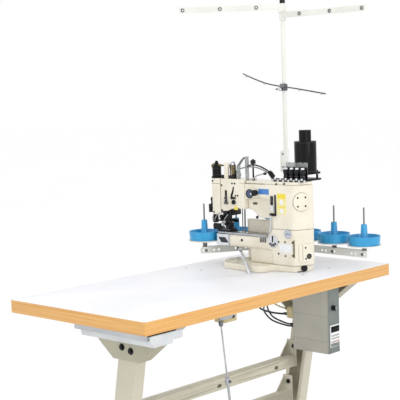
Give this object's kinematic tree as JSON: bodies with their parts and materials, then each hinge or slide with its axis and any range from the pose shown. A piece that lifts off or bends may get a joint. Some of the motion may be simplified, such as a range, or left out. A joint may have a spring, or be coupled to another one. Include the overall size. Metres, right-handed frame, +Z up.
{
  "type": "serger overlock machine",
  "caption": "Industrial flat-seaming overlock machine on a table with steel stand, treadle, drawer, control box and thread stand.",
  "frame": {"origin": "on the floor, under the middle of the whole outline", "axes": "+Z up, the operator stands on the -Y side, +X to the operator's right, the sewing arms point towards +Y"},
  "size_m": [1.2082, 0.7144, 1.697],
  "materials": {
    "laminate": "satin white laminate on chipboard",
    "beech_edge": "clear-lacquered beech edging",
    "stand_enamel": "warm grey-beige powder coat",
    "head_enamel": "ivory stove enamel over a sand-cast surface",
    "black_casting": "black powder-coated casting",
    "black_plastic": "moulded black plastic",
    "blue_plastic": "moulded blue plastic, slightly glossy",
    "pole_paint": "off-white powder coat",
    "steel": "ground and zinc-plated steel",
    "chrome": "bright chrome plate",
    "box_plastic": "grey textured plastic case",
    "frosted_plastic": "translucent frosted polypropylene",
    "beige_plastic": "beige moulded plastic",
    "cable_jacket": "flexible black cable jacket"
  },
  "bodies": {
    "root": {"air_cylinder": "black_plastic", "base_plate": "head_enamel", "bed_casting": "head_enamel", "cable_motor": "cable_jacket", "cable_sensor": "beige_plastic", "control_box": "box_plastic", "control_panel": "black_plastic", "drawer_runner": "steel", "edge_band": "beech_edge", "end_cover": "head_enamel", "face_cover": "head_enamel", "foot_left": "stand_enamel", "foot_right": "stand_enamel", "head_casting": "head_enamel", "leg_bracket_left": "stand_enamel", "leg_bracket_right": "stand_enamel", "looper_block": "black_casting", "lower_cover": "head_enamel", "lower_crossbar": "stand_enamel", "motor_housing": "black_casting", "needle_housing": "head_enamel", "pedal_sensor": "beige_plastic", "pole_base": "pole_paint", "solenoid": "black_casting", "table_top": "laminate", "tension_rail": "steel", "thread_pole": "pole_paint", "throat_plate": "steel", "top_cover": "head_enamel", "treadle_bar": "stand_enamel", "upper_crossbar": "stand_enamel", "upright_left": "stand_enamel", "upright_right": "stand_enamel", "waste_tube": "chrome"},
    "handwheel": {"handwheel": "black_casting"},
    "needle_bar": {"needle_bar": "steel"},
    "take_up": {"take_up": "steel"},
    "presser_foot": {"presser_foot": "steel"},
    "lift_lever": {"lift_lever": "black_plastic"},
    "looper_cover": {"looper_cover": "chrome"},
    "power_knob": {"power_knob": "black_plastic"},
    "drawer_tray": {"drawer_tray": "frosted_plastic"},
    "treadle": {"treadle": "black_casting"},
    "pull_rod": {"pull_rod": "steel"},
    "sensor_lever": {"sensor_lever": "steel"},
    "guide_arm_left": {"guide_arm_left": "pole_paint"},
    "guide_arm_right": {"guide_arm_right": "pole_paint"},
    "mid_guide": {"mid_guide": "steel"},
    "tension_knob_1": {"tension_knob_1": "black_plastic"},
    "tension_knob_2": {"tension_knob_2": "black_plastic"},
    "tension_knob_3": {"tension_knob_3": "black_plastic"},
    "tension_knob_4": {"tension_knob_4": "black_plastic"},
    "spool_arm_left": {"spool_arm_left": "pole_paint", "spool_tray_left_1": "blue_plastic", "spool_tray_left_2": "blue_plastic", "spool_tray_left_3": "blue_plastic"},
    "spool_arm_right": {"spool_arm_right": "pole_paint", "spool_tray_right_1": "blue_plastic", "spool_tray_right_2": "blue_plastic", "spool_tray_right_3": "blue_plastic"}
  },
  "joints": [
    {"name": "handwheel_spin", "type": "hinge", "parent": "root", "child": "handwheel", "pos_m": [0.42034, -0.07041, 0.99], "axis": [1, 0, 0], "continuous": true},
    {"name": "needle_stroke", "type": "slide", "parent": "root", "child": "needle_bar", "axis": [0, 0, 1], "range_m": [-0.025, 0]},
    {"name": "take_up_swing", "type": "hinge", "parent": "root", "child": "take_up", "pos_m": [0.28634, 0.06459, 1.075], "axis": [1, 0, 0], "range_deg": [-21, 0]},
    {"name": "presser_lift", "type": "slide", "parent": "root", "child": "presser_foot", "axis": [0, 0, 1], "range_m": [0, 0.008], "stiffness_N_per_m": 400},
    {"name": "lift_lever_turn", "type": "hinge", "parent": "root", "child": "lift_lever", "pos_m": [0.26834, 0.17759, 0.985], "axis": [0, 1, 0], "range_deg": [0, 24]},
    {"name": "looper_cover_swing", "type": "hinge", "parent": "root", "child": "looper_cover", "pos_m": [0.25334, 0.09459, 0.843], "axis": [0, 0, 1], "range_deg": [0, 100]},
    {"name": "power_knob_turn", "type": "hinge", "parent": "root", "child": "power_knob", "pos_m": [0.32434, -0.31041, 0.631], "axis": [0, 1, 0], "range_deg": [0, 90]},
    {"name": "drawer_pull", "type": "slide", "parent": "root", "child": "drawer_tray", "axis": [0, -1, 0], "range_m": [0, 0.24]},
    {"name": "treadle_tip", "type": "hinge", "parent": "root", "child": "treadle", "pos_m": [-0.11366, -0.24541, 0.06], "axis": [1, 0, 0], "range_deg": [-6, 12], "stiffness_Nm_per_rad": 25},
    {"name": "rod_pull", "type": "slide", "parent": "root", "child": "pull_rod", "axis": [-0.1236, 0, 0.9923], "range_m": [-0.013, 0.0065]},
    {"name": "sensor_lever_turn", "type": "hinge", "parent": "root", "child": "sensor_lever", "pos_m": [-0.18466, -0.30541, 0.688], "axis": [0, 1, 0], "range_deg": [-14, 7]},
    {"name": "guide_arm_left_swivel", "type": "hinge", "parent": "root", "child": "guide_arm_left", "pos_m": [0.54834, 0.05959, 1.6685], "axis": [0, 0, 1], "range_deg": [-60, 60]},
    {"name": "guide_arm_right_swivel", "type": "hinge", "parent": "root", "child": "guide_arm_right", "pos_m": [0.54834, 0.05959, 1.6385], "axis": [0, 0, 1], "range_deg": [-60, 60]},
    {"name": "mid_guide_swivel", "type": "hinge", "parent": "root", "child": "mid_guide", "pos_m": [0.54834, 0.05959, 1.378], "axis": [0, 0, 1], "range_deg": [-45, 45]},
    {"name": "spool_arm_left_swivel", "type": "hinge", "parent": "root", "child": "spool_arm_left", "pos_m": [0.54834, 0.05959, 0.796], "axis": [0, 0, 1], "range_deg": [-45, 0]},
    {"name": "spool_arm_right_swivel", "type": "hinge", "parent": "root", "child": "spool_arm_right", "pos_m": [0.54834, 0.05959, 0.788], "axis": [0, 0, 1], "range_deg": [0, 40]},
    {"name": "tension_knob_1_turn", "type": "hinge", "parent": "root", "child": "tension_knob_1", "pos_m": [0.29634, -0.14141, 1.08], "axis": [0, 0, 1], "range_deg": [-180, 180]},
    {"name": "tension_knob_2_turn", "type": "hinge", "parent": "root", "child": "tension_knob_2", "pos_m": [0.29634, -0.16541, 1.08], "axis": [0, 0, 1], "range_deg": [-180, 180]},
    {"name": "tension_knob_3_turn", "type": "hinge", "parent": "root", "child": "tension_knob_3", "pos_m": [0.29634, -0.18941, 1.08], "axis": [0, 0, 1], "range_deg": [-180, 180]},
    {"name": "tension_knob_4_turn", "type": "hinge", "parent": "root", "child": "tension_knob_4", "pos_m": [0.29634, -0.21341, 1.08], "axis": [0, 0, 1], "range_deg": [-180, 180]}
  ],
  "couplings": [
    {"joint": "take_up_swing", "follows": "needle_stroke", "rad_per_m": 14},
    {"joint": "lift_lever_turn", "follows": "presser_lift", "rad_per_m": 50},
    {"joint": "rod_pull", "follows": "treadle_tip", "m_per_rad": -0.06},
    {"joint": "sensor_lever_turn", "follows": "treadle_tip", "ratio": -1.09}
  ]
}
